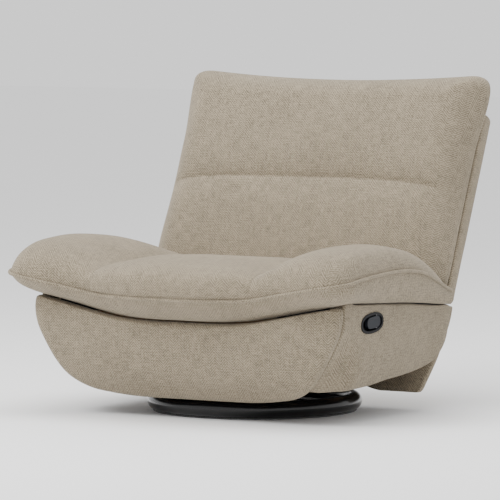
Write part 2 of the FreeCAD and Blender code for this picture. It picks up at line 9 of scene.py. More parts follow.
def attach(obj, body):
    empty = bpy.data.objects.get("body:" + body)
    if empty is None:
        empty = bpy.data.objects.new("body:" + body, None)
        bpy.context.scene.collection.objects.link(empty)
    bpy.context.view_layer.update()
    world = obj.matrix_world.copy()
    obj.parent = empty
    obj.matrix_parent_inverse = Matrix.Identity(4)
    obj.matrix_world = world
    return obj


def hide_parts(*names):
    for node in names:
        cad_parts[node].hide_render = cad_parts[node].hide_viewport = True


with open("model.json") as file:
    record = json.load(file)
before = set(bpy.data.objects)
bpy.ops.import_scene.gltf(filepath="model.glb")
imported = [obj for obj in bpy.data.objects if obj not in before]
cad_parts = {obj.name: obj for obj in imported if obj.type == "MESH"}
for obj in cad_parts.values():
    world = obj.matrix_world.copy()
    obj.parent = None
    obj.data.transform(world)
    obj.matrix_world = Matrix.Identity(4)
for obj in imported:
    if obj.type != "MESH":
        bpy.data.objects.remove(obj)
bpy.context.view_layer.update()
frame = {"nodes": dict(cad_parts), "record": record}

MM = 0.001


# ------------------------------------------------------------------ mesh tools
def smoothstep(x, a=0.0, b=1.0):
    t = np.clip((np.asarray(x, float) - a) / (b - a), 0, 1)
    return t * t * (3 - 2 * t)


def hermite(pts, closed=False):
    """A smooth curve through points, by chord length; returns f(t in 0..1) -> points."""
    P = np.asarray(pts, float)
    if closed:
        P = np.vstack([P, P[:1]])
    d = np.sqrt((np.diff(P, axis=0) ** 2).sum(1))
    T = np.concatenate([[0], np.cumsum(d)])
    n = len(P)
    M = np.zeros_like(P)
    for i in range(n):
        if closed and i in (0, n - 1):
            a, b, ta, tb = P[-2], P[1], -(T[-1] - T[-2]), T[1]
            c, tc = P[0], 0.0
            M[i] = ((c - a) / (tc - ta) * (tb - tc) + (b - c) / (tb - tc) * (tc - ta)) / (tb - ta)
        elif i == 0:
            M[i] = (P[1] - P[0]) / (T[1] - T[0])
        elif i == n - 1:
            M[i] = (P[-1] - P[-2]) / (T[-1] - T[-2])
        else:
            h0, h1 = T[i] - T[i - 1], T[i + 1] - T[i]
            M[i] = ((P[i] - P[i - 1]) / h0 * h1 + (P[i + 1] - P[i]) / h1 * h0) / (h0 + h1)

    def f(t):
        t = np.clip(np.asarray(t, float), 0, 1) * T[-1]
        i = np.clip(np.searchsorted(T, t, side="right") - 1, 0, n - 2)
        h = T[i + 1] - T[i]
        s = ((t - T[i]) / h)[..., None]
        h = h[..., None]
        return ((2 * s**3 - 3 * s**2 + 1) * P[i] + (s**3 - 2 * s**2 + s) * h * M[i]
                + (-2 * s**3 + 3 * s**2) * P[i + 1] + (s**3 - s**2) * h * M[i + 1])
    f.T = T / T[-1]
    return f


def table(xs, ys):
    """Smooth 1-D lookup."""
    f = hermite(np.stack([np.asarray(xs, float), np.asarray(ys, float)], 1))
    tt = np.linspace(0, 1, 600)
    p = f(tt)
    return lambda x: np.interp(x, p[:, 0], p[:, 1])


def noise3(p, seed=0, octaves=((90.0, 1.0), (45.0, 0.45))):
    """Smooth, repeatable wobble from sums of sines; p in mm, result about -1..1."""
    rng = np.random.RandomState(seed)
    out = 0.0
    tot = 0.0
    for lam, amp in octaves:
        for k in range(5):
            d = rng.normal(size=3)
            d /= np.linalg.norm(d)
            ph = rng.uniform(0, 2 * math.pi)
            out = out + amp * np.sin(2 * math.pi * (p @ d) / (lam * rng.uniform(0.7, 1.4)) + ph)
            tot += amp
    return out / (0.6 * tot)


def make(name, verts, faces, smooth=True):
    me = bpy.data.meshes.new(name)
    me.from_pydata([tuple(v) for v in (np.asarray(verts) * MM)], [], faces)
    me.validate()
    bm = bmesh.new()
    bm.from_mesh(me)
    bmesh.ops.remove_doubles(bm, verts=bm.verts, dist=1e-6)
    bmesh.ops.recalc_face_normals(bm, faces=bm.faces)
    bm.to_mesh(me)
    bm.free()
    for p in me.polygons:
        p.use_smooth = smooth
    o = bpy.data.objects.new(name, me)
    bpy.context.scene.collection.objects.link(o)
    return o


def grid_faces(n, m, off=0, closed_m=False):
    out = []
    mm = m if closed_m else m - 1
    for i in range(n - 1):
        for j in range(mm):
            j2 = (j + 1) % m
            out.append((off + i * m + j, off + (i + 1) * m + j, off + (i + 1) * m + j2, off + i * m + j2))
    return out


def loop_ids(n, m):
    a = [(i, 0) for i in range(n)]
    b = [(n - 1, j) for j in range(1, m)]
    c = [(i, m - 1) for i in range(n - 2, -1, -1)]
    d = [(0, j) for j in range(m - 2, 0, -1)]
    return a + b + c + d


def slab_mesh(name, T, B, rows=8, bulge=None):
    """A closed piece from a top grid and a bottom grid of the same layout, joined by a side wall.
    bulge(r, P) gives the wall's push at fraction r down the loop P."""
    n, m = T.shape[:2]
    verts = [T.reshape(-1, 3), B.reshape(-1, 3)]
    faces = grid_faces(n, m) + grid_faces(n, m, n * m)
    ids = loop_ids(n, m)
    tl = np.array([T[i, j] for i, j in ids])
    bl = np.array([B[i, j] for i, j in ids])
    off = 2 * n * m
    L = len(ids)
    rings = [tl]
    for k in range(1, rows):
        r = k / rows
        p = tl * (1 - r) + bl * r
        if bulge is not None:
            p = p + bulge(r, p)
        rings.append(p)
    rings.append(bl)
    verts.append(np.concatenate(rings))
    faces += grid_faces(len(rings), L, off, closed_m=True)
    return make(name, np.concatenate(verts), faces)


def ring_pad(name, outline, centre, rings, place):
    """A pad from a closed outline.  rings: (inset in mm or None with scale, depth); place(a, b, depth) -> xyz."""
    O = np.asarray(outline, float)
    c = np.asarray(centre, float)
    R = np.sqrt(((O - c) ** 2).sum(1))[:, None]
    D = (O - c) / R
    V, F = [], []
    L = len(O)
    for kind, val, depth in rings:
        q = c + D * (R - val) if kind == "in" else c + (O - c) * val
        V.append(place(q[:, 0], q[:, 1], depth, val if kind == "in" else None))
    F = grid_faces(len(rings), L, 0, closed_m=True)
    V = np.concatenate(V)
    n = len(V)
    # centre caps
    c0 = place(np.array([c[0]]), np.array([c[1]]), rings[0][2], None)
    c1 = place(np.array([c[0]]), np.array([c[1]]), rings[-1][2], None)
    V = np.concatenate([V, c0, c1])
    for j in range(L):
        F.append((n, j, (j + 1) % L))
        b = (len(rings) - 1) * L
        F.append((n + 1, b + (j + 1) % L, b + j))
    return make(name, V, F)


def pad_rings(r, t_front=1.0, t_back=0.0, back_r=8.0, thick=45.0):
    """Rings from the front's centre, over a rounded edge, to the back's centre."""
    out = [("sc", s, t_front) for s in (0.12, 0.3, 0.5, 0.68, 0.82)]
    n = 8
    for i in range(n + 1):
        a = math.pi / 2 * i / n
        out.append(("in", r * (1 - math.sin(a)), t_front - (1 - math.cos(a)) * r / thick))
    for i in range(1, 5):
        a = math.pi / 2 * i / 4
        out.append(("in", back_r * (1 - math.cos(a)), t_back + back_r / thick * (1 - math.sin(a))))
    out += [("sc", s, t_back) for s in (0.8, 0.5, 0.2)]
    return out


def tube(name, path, radius, n=10, closed=False):
    P = np.asarray(path, float)
    t = np.gradient(P, axis=0)
    if closed:
        t = np.roll(P, -1, 0) - np.roll(P, 1, 0)
    t /= np.linalg.norm(t, axis=1)[:, None]
    up = np.tile([0.0, 0.0, 1.0], (len(P), 1))
    a = np.cross(t, up)
    bad = np.linalg.norm(a, axis=1) < 1e-3
    a[bad] = np.cross(t[bad], [1.0, 0, 0])
    a /= np.linalg.norm(a, axis=1)[:, None]
    b = np.cross(a, t)
    ang = np.linspace(0, 2 * math.pi, n, endpoint=False)
    ring = P[:, None, :] + radius * (np.cos(ang)[None, :, None] * a[:, None, :] + np.sin(ang)[None, :, None] * b[:, None, :])
    V = ring.reshape(-1, 3)
    F = grid_faces(len(P), n, 0, closed_m=True)
    if closed:
        base = (len(P) - 1) * n
        for j in range(n):
            F.append((base + j, j, (j + 1) % n, base + (j + 1) % n))
    else:
        F.append(tuple(range(n)))
        F.append(tuple((len(P) - 1) * n + j for j in range(n)))
    return make(name, V, F)


# ------------------------------------------------------------------- materials
def setv(nd, key, val):
    nd.inputs[key].default_value = val


def link(nt, a, b):
    nt.links.new(a, b)


def math_node(nt, op, a, b=None, c=None):
    nd = nt.nodes.new("ShaderNodeMath")
    nd.operation = op
    for i, v in enumerate((a, b, c)):
        if v is None:
            continue
        if isinstance(v, (int, float)):
            nd.inputs[i].default_value = v
        else:
            nt.links.new(v, nd.inputs[i])
    return nd.outputs[0]


def weave_group():
    """Woven threads for one flat projection: input a vector in metres whose X and Y lie in the cloth."""
    g = bpy.data.node_groups.new("weave_2d", "ShaderNodeTree")
    g.interface.new_socket("Vector", in_out="INPUT", socket_type="NodeSocketVector")
    g.interface.new_socket("Height", in_out="OUTPUT", socket_type="NodeSocketFloat")
    g.interface.new_socket("Slub", in_out="OUTPUT", socket_type="NodeSocketFloat")
    gi = g.nodes.new("NodeGroupInput")
    go = g.nodes.new("NodeGroupOutput")
    # a slow wobble keeps the threads from running ruler straight
    nz = g.nodes.new("ShaderNodeTexNoise")
    nz.inputs["Scale"].default_value = 22.0
    nz.inputs["Detail"].default_value = 2.0
    g.links.new(gi.outputs[0], nz.inputs["Vector"])
    wob = g.nodes.new("ShaderNodeVectorMath")
    wob.operation = "MULTIPLY_ADD"
    g.links.new(nz.outputs["Color"], wob.inputs[0])
    wob.inputs[1].default_value = (0.0035, 0.0035, 0.0)
    g.links.new(gi.outputs[0], wob.inputs[2])
    sep = g.nodes.new("ShaderNodeSeparateXYZ")
    g.links.new(wob.outputs[0], sep.inputs[0])
    pitch = 0.0062
    u = math_node(g, "MULTIPLY", sep.outputs[0], 2 * math.pi / pitch)
    v = math_node(g, "MULTIPLY", sep.outputs[1], 2 * math.pi / pitch)
    su = math_node(g, "SINE", u)
    sv = math_node(g, "SINE", v)
    over = math_node(g, "MULTIPLY", su, sv)
    tw = math_node(g, "SINE", math_node(g, "MULTIPLY", math_node(g, "ADD", u, v), 0.5))
    # chevrons: the twill leans one way, then the other, in bands
    band = math_node(g, "PINGPONG", sep.outputs[0], 0.019)
    tv = math_node(g, "SINE", math_node(g, "MULTIPLY", math_node(g, "ADD", band, sep.outputs[1]), 2 * math.pi / (pitch * 1.25)))
    h = math_node(g, "ADD", math_node(g, "MULTIPLY", over, 0.24), math_node(g, "ADD", math_node(g, "MULTIPLY", tw, 0.08), math_node(g, "MULTIPLY", tv, 0.34)))
    # slubs: fat and pale stretches of thread, along and across
    slubs = []
    for sx, sy, sc in ((1.0, 9.0, 30.0), (9.0, 1.0, 30.0)):
        mp = g.nodes.new("ShaderNodeMapping")
        mp.inputs["Scale"].default_value = (sx, sy, 1.0)
        g.links.new(gi.outputs[0], mp.inputs["Vector"])
        n2 = g.nodes.new("ShaderNodeTexNoise")
        n2.inputs["Scale"].default_value = sc
        n2.inputs["Detail"].default_value = 3.0
        n2.inputs["Roughness"].default_value = 0.6
        g.links.new(mp.outputs[0], n2.inputs["Vector"])
        slubs.append(n2.outputs["Fac"])
    sl = math_node(g, "MULTIPLY", math_node(g, "ADD", slubs[0], slubs[1]), 0.5)
    h2 = math_node(g, "ADD", math_node(g, "ADD", h, 0.5), math_node(g, "MULTIPLY", math_node(g, "SUBTRACT", sl, 0.5), 0.9))
    g.links.new(h2, go.inputs["Height"])
    g.links.new(sl, go.inputs["Slub"])
    return g


WEAVE = weave_group()


def fabric(name, tilt=0.0, light=(0.315, 0.262, 0.186), dark=(0.098, 0.080, 0.054)):
    m = bpy.data.materials.new(name)
    m.use_nodes = True
    nt = m.node_tree
    bs = nt.nodes["Principled BSDF"]
    tc = nt.nodes.new("ShaderNodeTexCoord")
    vec, nor = tc.outputs["Object"], tc.outputs["Normal"]
    if tilt:
        outs = []
        for s in (vec, nor):
            r = nt.nodes.new("ShaderNodeVectorRotate")
            r.rotation_type = "X_AXIS"
            r.inputs["Angle"].default_value = tilt
            nt.links.new(s, r.inputs["Vector"])
            outs.append(r.outputs[0])
        vec, nor = outs
    sp = nt.nodes.new("ShaderNodeSeparateXYZ")
    nt.links.new(vec, sp.inputs[0])
    sn = nt.nodes.new("ShaderNodeSeparateXYZ")
    nt.links.new(nor, sn.inputs[0])
    ws = [math_node(nt, "POWER", math_node(nt, "ABSOLUTE", sn.outputs[i]), 5.0) for i in range(3)]
    tot = math_node(nt, "ADD", math_node(nt, "ADD", ws[0], ws[1]), math_node(nt, "ADD", ws[2], 1e-4))
    H = S = None
    for i, (a, b) in enumerate(((1, 2), (0, 2), (0, 1))):
        cm = nt.nodes.new("ShaderNodeCombineXYZ")
        nt.links.new(sp.outputs[a], cm.inputs[0])
        nt.links.new(sp.outputs[b], cm.inputs[1])
        gn = nt.nodes.new("ShaderNodeGroup")
        gn.node_tree = WEAVE
        nt.links.new(cm.outputs[0], gn.inputs[0])
        w = math_node(nt, "DIVIDE", ws[i], tot)
        h = math_node(nt, "MULTIPLY", gn.outputs["Height"], w)
        s = math_node(nt, "MULTIPLY", gn.outputs["Slub"], w)
        H = h if H is None else math_node(nt, "ADD", H, h)
        S = s if S is None else math_node(nt, "ADD", S, s)
    # colour: thread relief, slubs, and a faint cloudiness
    cl = nt.nodes.new("ShaderNodeTexNoise")
    cl.inputs["Scale"].default_value = 9.0
    cl.inputs["Detail"].default_value = 4.0
    nt.links.new(vec, cl.inputs["Vector"])
    f1 = math_node(nt, "MULTIPLY", H, 1.05)
    f2 = math_node(nt, "MULTIPLY", math_node(nt, "SUBTRACT", S, 0.5), 1.9)
    f3 = math_node(nt, "MULTIPLY", math_node(nt, "SUBTRACT", cl.outputs["Fac"], 0.5), 0.35)
    fac = math_node(nt, "ADD", math_node(nt, "ADD", f1, 0.02), math_node(nt, "ADD", f2, f3))
    mx = nt.nodes.new("ShaderNodeMix")
    mx.data_type = "RGBA"
    mx.clamp_factor = True
    nt.links.new(fac, mx.inputs["Factor"])
    mx.inputs["A"].default_value = (*dark, 1)
    mx.inputs["B"].default_value = (*light, 1)
    nt.links.new(mx.outputs["Result"], bs.inputs["Base Color"])
    bs.inputs["Roughness"].default_value = 0.9
    bs.inputs["Specular IOR Level"].default_value = 0.18
    bs.inputs["Sheen Weight"].default_value = 0.2
    bs.inputs["Sheen Roughness"].default_value = 0.55
    bs.inputs["Sheen Tint"].default_value = (0.95, 0.87, 0.74, 1)
    bp = nt.nodes.new("ShaderNodeBump")
    bp.inputs["Strength"].default_value = 0.55
    bp.inputs["Distance"].default_value = 0.0013
    nt.links.new(H, bp.inputs["Height"])
    nt.links.new(bp.outputs["Normal"], bs.inputs["Normal"])
    return m


def simple(name, color, rough, metal=0.0, noise_scale=60.0, var=0.12, bump=0.0, coat=0.0, aniso=None, spec=0.5):
    m = bpy.data.materials.new(name)
    m.use_nodes = True
    nt = m.node_tree
    bs = nt.nodes["Principled BSDF"]
    tc = nt.nodes.new("ShaderNodeTexCoord")
    nz = nt.nodes.new("ShaderNodeTexNoise")
    nz.inputs["Scale"].default_value = noise_scale
    nz.inputs["Detail"].default_value = 5.0
    if aniso:
        mp = nt.nodes.new("ShaderNodeMapping")
        mp.inputs["Scale"].default_value = aniso
        nt.links.new(tc.outputs["Object"], mp.inputs["Vector"])
        nt.links.new(mp.outputs[0], nz.inputs["Vector"])
    else:
        nt.links.new(tc.outputs["Object"], nz.inputs["Vector"])
    mx = nt.nodes.new("ShaderNodeMix")
    mx.data_type = "RGBA"
    nt.links.new(nz.outputs["Fac"], mx.inputs["Factor"])
    mx.inputs["A"].default_value = (*[max(0.0, c * (1 - var)) for c in color], 1)
    mx.inputs["B"].default_value = (*[min(1.0, c * (1 + var)) for c in color], 1)
    nt.links.new(mx.outputs["Result"], bs.inputs["Base Color"])
    rr = math_node(nt, "ADD", math_node(nt, "MULTIPLY", nz.outputs["Fac"], 0.12), rough - 0.06)
    nt.links.new(rr, bs.inputs["Roughness"])
    bs.inputs["Metallic"].default_value = metal
    bs.inputs["Coat Weight"].default_value = coat
    bs.inputs["Specular IOR Level"].default_value = spec
    bs.inputs["Coat Roughness"].default_value = 0.08
    if bump:
        bp = nt.nodes.new("ShaderNodeBump")
        bp.inputs["Strength"].default_value = bump
        bp.inputs["Distance"].default_value = 0.0006
        nt.links.new(nz.outputs["Fac"], bp.inputs["Height"])
        nt.links.new(bp.outputs["Normal"], bs.inputs["Normal"])
    return m


LEAN = math.radians(24.4)
M_FAB = fabric("fabric_greige")
M_BACK = fabric("fabric_greige_back", tilt=LEAN)
M_RING = simple("gloss_black", (0.006, 0.006, 0.0065), 0.24, noise_scale=12, var=0.2, coat=0.2, spec=0.35)
M_STEEL = simple("black_steel", (0.035, 0.035, 0.038), 0.42, metal=0.4, noise_scale=80, bump=0.1)
M_ZINC = simple("zinc_steel", (0.55, 0.55, 0.57), 0.36, metal=1.0, noise_scale=30, aniso=(1, 1, 12), var=0.08)
M_WOOD = simple("plywood", (0.52, 0.36, 0.21), 0.62, noise_scale=14, var=0.3, aniso=(1.0, 9.0, 9.0), bump=0.2)
M_PLASTIC = simple("black_plastic", (0.009, 0.009, 0.010), 0.5, noise_scale=300, var=0.25, bump=0.08, spec=0.1)
M_LEVER = simple("lever_plastic", (0.013, 0.015, 0.020), 0.42, noise_scale=260, var=0.2, bump=0.05, spec=0.14)
M_GLIDE = simple("glide_plastic", (0.02, 0.02, 0.02), 0.6, noise_scale=200, bump=0.1)
M_LINING = simple("lining_cloth", (0.03, 0.03, 0.032), 0.95, noise_scale=500, var=0.3, bump=0.4)

SLOT_MAT = {"base_black": M_RING, "steel_dark": M_STEEL, "steel_bright": M_ZINC, "glide_plastic": M_GLIDE, "wood_frame": M_WOOD,
            "lining": M_LINING, "upholstery": M_FAB, "handle_black": M_PLASTIC, "handle_grey": M_LEVER, "cable_black": M_PLASTIC}
slot_of = {s["node"]: s["material_slot"] for s in frame["record"]["subparts"]}
for nname, o in frame["nodes"].items():
    mat = SLOT_MAT[slot_of[nname]]
    o.data.materials.clear()
    o.data.materials.append(mat)


def dress(o, body, slot, mat, *nodes, padded=None):
    o.data.materials.clear()
    o.data.materials.append(mat)
    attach(o, body)
    if nodes:
        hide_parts(*nodes)
    return o


# ------------------------------------------------------------------------ seat
# All in mm.  The edge of the seat pad carries a welt; under it a border drops to the
# line where the seat meets the lower panels.
WELT = [(0, -520, 356), (90, -518, 356), (170, -505, 357), (235, -488, 359), (262, -483, 362), (300, -484, 368), (360, -492, 380),
        (420, -503, 391), (480, -506, 402), (525, -490, 409), (545, -463, 413), (555, -429, 417), (556, -390, 422), (556, -330, 427),
        (554, -250, 431), (551, -170, 433), (550, -75, 430), (546, 20, 417), (538, 90, 398), (528, 150, 379), (518, 205, 363), (508, 258, 349)]
GAP = [(0, -425, 291), (90, -423, 291), (170, -412, 293), (235, -402, 299), (262, -399, 303), (300, -395, 310), (360, -390, 322),
       (420, -388, 334), (465, -390, 343), (495, -388, 350), (511, -372, 354), (514, -345, 354), (513, -310, 352), (512, -265, 349),
       (512, -215, 346), (512, -150, 342), (511, -60, 337), (511, 20, 331), (510, 90, 325), (509, 150, 319), (508, 205, 314), (506, 262, 309)]
weltf = hermite(WELT)
gapf = hermite(GAP)
SW = weltf.T
I262, ITIP = 4, 11


def vcurve(pts, x):
    return hermite([(x, a, b) for a, b in pts])


CENTRE = [(-520, 356), (-530, 376), (-531, 400), (-520, 423), (-490, 441), (-436, 455), (-350, 463), (-260, 465), (-150, 459), (-20, 448),
          (90, 436), (174, 425)]
VALLEY = [(-483, 362), (-491, 378), (-490, 396), (-478, 414), (-452, 427), (-410, 434), (-340, 436), (-250, 437), (-150, 436), (-20, 432),
          (90, 427), (174, 421)]
cent, vall = vcurve(CENTRE, 0.0), vcurve(VALLEY, 262.0)


def even(n, k=0.55):
    """0..1 with points drawn towards both ends."""
    a = np.linspace(0, 1, n)
    return (1 - k) * a + k * (0.5 - 0.5 * np.cos(math.pi * a))


def top_line(y):
    return 346.0 - 0.0625 * (y + 374.0)


# centre lobe
ns, nt_ = 81, 110
s = np.sin(math.pi / 2 * np.linspace(-1, 1, ns))
t = even(nt_, 0.5)
C0, V0 = cent(t), vall(t)
a = np.abs(s)[:, None]
Fe = np.clip(1 - a**3.4, 0, 1) ** 0.86
Fw = 1 - np.interp(a[:, 0] * 262, weltf(np.linspace(0, SW[I262], 60))[:, 0],
                   (weltf(np.linspace(0, SW[I262], 60))[:, 1] + 520) / 37.0)[:, None]
mix = smoothstep(t, 0.0, 0.12)[None, :]
F = Fw * (1 - mix) + Fe * mix
T = np.zeros((ns, nt_, 3))
T[..., 0] = s[:, None] * 261.6
T[..., 1] = V0[None, :, 1] + (C0[None, :, 1] - V0[None, :, 1]) * F
T[..., 2] = V0[None, :, 2] + (C0[None, :, 2] - V0[None, :, 2]) * F
Bt = T.copy()
yb = np.interp(np.arange(nt_) / (nt_ - 1), [0, 1], [0, 1])
Bt[..., 1] = (T[:, :1, 1] + 14) + (174 - (T[:, :1, 1] + 14)) * yb[None, :] ** 1.2
Bt[..., 2] = np.minimum(352.0, T[:, :1, 2] - 6) * (1 - smoothstep(yb, 0, .3))[None, :] + (top_line(Bt[..., 1]) + 4) * smoothstep(yb, 0, .3)[None, :]
wob = noise3(T.reshape(-1, 3), 3, ((210.0, 1.0), (95.0, 0.4))).reshape(ns, nt_)
fade = smoothstep(t, 0.02, 0.2)[None, :] * smoothstep(1 - np.abs(s), 0.0, 0.15)[:, None]
T[..., 2] += 2.2 * wob * fade
seat_c = slab_mesh("seat_centre_lobe", T, Bt, rows=3)
dress(seat_c, "seat_carriage", "upholstery", M_FAB, "seat_cushion", padded=0.65)


# wing lobes
def coons(cf, cr, ci, co):
    """Patch from four edges: cf(s) front, cr(s) rear, ci(t) inner, co(t) outer (arrays)."""
    n, m = len(cf), len(ci)
    S = np.linspace(0, 1, n)[:, None, None]
    Tt = np.linspace(0, 1, m)[None, :, None]
    A = cf[:, None, :] * (1 - Tt) + cr[:, None, :] * Tt
    Bb = ci[None, :, :] * (1 - S) + co[None, :, :] * S
    Cc = (cf[0] * (1 - S) * (1 - Tt) + cf[-1] * S * (1 - Tt) + cr[0] * (1 - S) * Tt + cr[-1] * S * Tt)
    return A + Bb - Cc


ridge = table([-540, -500, -447, -390, -335, -243, -180, -100, 0, 87, 150, 208, 262], [462, 474, 487, 498, 505, 510, 508, 500, 482, 461, 442, 416, 376])


def wing(sign):
    n, m = 84, 120
    sp = even(n, 0.75)
    tp = even(m, 0.7)
    cf = weltf(SW[I262] + (SW[ITIP] - SW[I262]) * sp)
    co = weltf(SW[ITIP] + (1 - SW[ITIP]) * tp)
    ci = vall(tp)
    ci[:, 0] = 262.6
    rear = hermite([(262.6, 174, 421), (340, 174, 424), (410, 174, 422), (462, 177, 411), (488, 196, 392), (499, 226, 369), (508, 258, 349)])
    cr = rear(sp)
    P = coons(cf, cr, ci, co)
    S, Tt = sp[:, None], tp[None, :]
    Fs = np.where(S > 0.56, np.clip(1 - np.abs((S - 0.56) / 0.44) ** 2.3, 0, 1) ** 0.72, np.clip(1 - (np.clip(0.56 - S, 0, 1) / 0.56) ** 1.9, 0, 1) ** 1.0)
    tau = 0.24
    Gf = np.where(Tt < tau, np.clip(1 - (np.clip(tau - Tt, 0, 1) / tau) ** 2.3, 0, 1) ** 0.74, 1.0)
    Gr = np.where(Tt > 0.62, np.clip(1 - (np.clip(Tt - 0.62, 0, 1) / 0.38) ** 2.0, 0, 1) ** 0.6, 1.0)
    G = Gf * Gr
    top = ridge(P[..., 1])
    P[..., 2] += np.maximum(top - P[..., 2], 0) * Fs * G
    # an outward swell over the welt at the front and the outer side, scaled to zero and left unused
    sw = np.sin(math.pi * np.clip(S, 0, 1)) * 0
    wob = noise3(P.reshape(-1, 3), 11 if sign > 0 else 12, ((230.0, 1.0), (100.0, 0.45))).reshape(n, m)
    fd = smoothstep(S, 0, 0.12) * smoothstep(1 - S, 0, 0.12) * smoothstep(Tt, 0, 0.1) * smoothstep(1 - Tt, 0, 0.1)
    P[..., 2] += 3.0 * wob * fd
    # underside
    cfb = cf + np.array([0, 16.0, -8.0])
    cob = co + np.array([-18.0, 0, -10.0])
    k = smoothstep(sp, 0.75, 1.0)[:, None]
    cfb = cf + np.array([0, 16.0, -8.0]) * (1 - k * 0.3) + np.array([-14.0, 0, 0]) * k
    kk = smoothstep(1 - tp, 0.85, 1.0)[:, None]
    cob = co + np.array([-14.0, 0, -8.0]) + np.array([0, 11.2, 0]) * kk
    cob[0] = cfb[-1]
    cib = ci.copy()
    cib[:, 1] = np.linspace(cfb[0][1], 174, m)
    cib[:, 2] = np.linspace(cfb[0][2], top_line(174) + 4, m)
    crb = cr.copy()
    crb[:, 2] = np.linspace(cib[-1][2], cob[-1][2], n)
    crb[0], crb[-1] = cib[-1], cob[-1]
    B = coons(cfb, crb, cib, cob)
    if sign < 0:
        P[..., 0] *= -1
        B[..., 0] *= -1
    nm = "left" if sign > 0 else "right"
    o = slab_mesh("wing_lobe_" + nm, P, B, rows=3)
    return dress(o, "seat_carriage", "upholstery", M_FAB, "wing_pad_" + nm, padded=0.7)


wing(1)
wing(-1)

# the border under the welt, one strip round the front and both sides
NB = 260
sb = np.linspace(0, 1, NB)
wl, gl = weltf(sb), gapf(sb)
full_w = np.concatenate([(wl * [-1, 1, 1])[::-1], wl[1:]])
full_g = np.concatenate([(gl * [-1, 1, 1])[::-1], gl[1:]])
tan = np.gradient(full_w, axis=0)
nrm = np.stack([tan[:, 1], -tan[:, 0], np.zeros(len(tan))], 1)
nrm /= np.linalg.norm(nrm, axis=1)[:, None]
NR = 13
rows = []
tipb = 6.0 * np.exp(-((np.abs(full_w[:, 0]) - 545.0) / 45.0) ** 2) * (full_w[:, 1] < -300)
for k in range(NR):
    r = k / (NR - 1)
    p = full_w * (1 - r) + full_g * r
    p = p + nrm * ((10.0 + tipb) * max(math.sin(math.pi * r), 0.0) ** 0.9)[:, None] + np.array([0, 0, -1.0]) * (2.0 + 0.5 * tipb[:, None]) * math.sin(math.pi * r)
    rows.append(p)
out_skin = np.stack(rows, 1)
inn = out_skin - nrm[:, None, :] * 15.0 + np.array([0, 0, 2.5])
inn[:, 0, :] += [0, 0, 1.0]
strip = np.concatenate([out_skin, inn[:, ::-1, :]], 1)
n_, m_ = strip.shape[:2]
V = strip.reshape(-1, 3)
V = V + (noise3(V, 21, ((150.0, 1.0), (60.0, 0.5)))[:, None]) * np.repeat(nrm, m_, 0) * 0.9
Fc = grid_faces(n_, m_, 0, closed_m=True)
Fc.append(tuple(range(m_)))
Fc.append(tuple((n_ - 1) * m_ + j for j in range(m_)))
border = make("seat_border", V, Fc)
dress(border, "seat_carriage", "upholstery", M_FAB, padded=0.5)

wp = full_w + nrm * 3.4
weltp = tube("seat_welt", wp, 4.9, 12)
dress(weltp, "seat_carriage", "upholstery", M_FAB)

# dark lining cloth closes the open line between the seat and the side panels
LV, LF = [], []
for sg in (1, -1):
    g_ = gapf(np.linspace(SW[ITIP] + 0.02, 0.985, 90))
    g_ = g_[g_[:, 1] > -350]
    k_ = len(g_)
    sec = [(-19.0, -16.0), (-19.0, 6.0), (-25.0, 6.0), (-25.0, -16.0)]
    q = np.stack([g_ + np.array([dx, 0, dz]) for dx, dz in sec], 1)
    q[..., 0] *= sg
    off_ = sum(len(v) for v in LV)
    LV.append(q.reshape(-1, 3))
    LF += grid_faces(k_, 4, off_, closed_m=True)
    LF += [(off_, off_ + 1, off_ + 2, off_ + 3), tuple(off_ + (k_ - 1) * 4 + j for j in (3, 2, 1, 0))]
lining = make("seat_gap_lining", np.concatenate(LV), LF)
dress(lining, "seat_carriage", "lining", M_LINING)

# padded apron from the back of the seat down to the hinge line, under the back cushion
apx = np.linspace(-470, 470, 80)
app = hermite([(164, 388), (180, 374), (215, 356), (248, 345), (262, 343)])(np.linspace(0, 1, 26))
apn = np.gradient(app, axis=0)
apn = np.stack([-apn[:, 1], apn[:, 0]], 1)
apn /= np.linalg.norm(apn, axis=1)[:, None]
AB = np.zeros((80, 26, 3))
AB[..., 0] = apx[:, None]
AB[..., 1:] = app[None]
puff = 4.0 + 2.0 * np.sin(math.pi * np.linspace(0, 1, 26))[None, :] * np.clip(1 - (apx / 472.0) ** 8, 0, 1)[:, None]
AT = AB.copy()
AT[..., 1:] += apn[None] * puff[..., None]
AT[..., 2] += 0.5 * noise3(AT.reshape(-1, 3), 61, ((120.0, 1.0), (50.0, 0.5))).reshape(80, 26)
apron = slab_mesh("seat_rear_apron", AT, AB, rows=3)
dress(apron, "seat_carriage", "upholstery", M_FAB, padded=0.2)

# ---------------------------------------------------------------- front panel
gx = gapf(np.linspace(0, 1, 400))
half_top = gx[:, 0]
top_z = table([0, 90, 170, 235, 300, 360, 420, 465, 498], [286, 286, 288, 294, 306, 318, 330, 338, 345])


def foot_outline():
    pts = []
    for x in np.linspace(-487, 487, 61):
        pts.append((x, float(top_z(abs(x)))))
    right = [(501, 339), (505, 322), (503, 292), (495, 260), (476, 221), (455, 184), (432, 148), (410, 121), (381, 97), (339, 77.5), (278, 66),
             (203, 58.5), (120, 57), (30, 57)]
    pts += right
    pts += [(-x, z) for x, z in right[::-1]]
    return pts


prof_top = table([40, 57, 70, 90, 120, 160, 206, 250, 291, 320, 352], [-340, -352, -364, -380, -402, -418, -426, -430, -431, -429, -425])
fo = hermite(foot_outline(), closed=True)(np.linspace(0, 1, 420, endpoint=False))


def foot_place(x, z, d, inset):
    """d 1 at the front face, 0 at the back."""
    side = np.clip(np.abs(x) / 502.0, 0, 1)
    yf = prof_top(z) + 19.0 * side ** 3.0
    thick = 36.0 - 15.0 * (1 - smoothstep(z, 90, 165))
    y = yf + (1 - d) * thick
    return np.stack([x, y, z], 1)


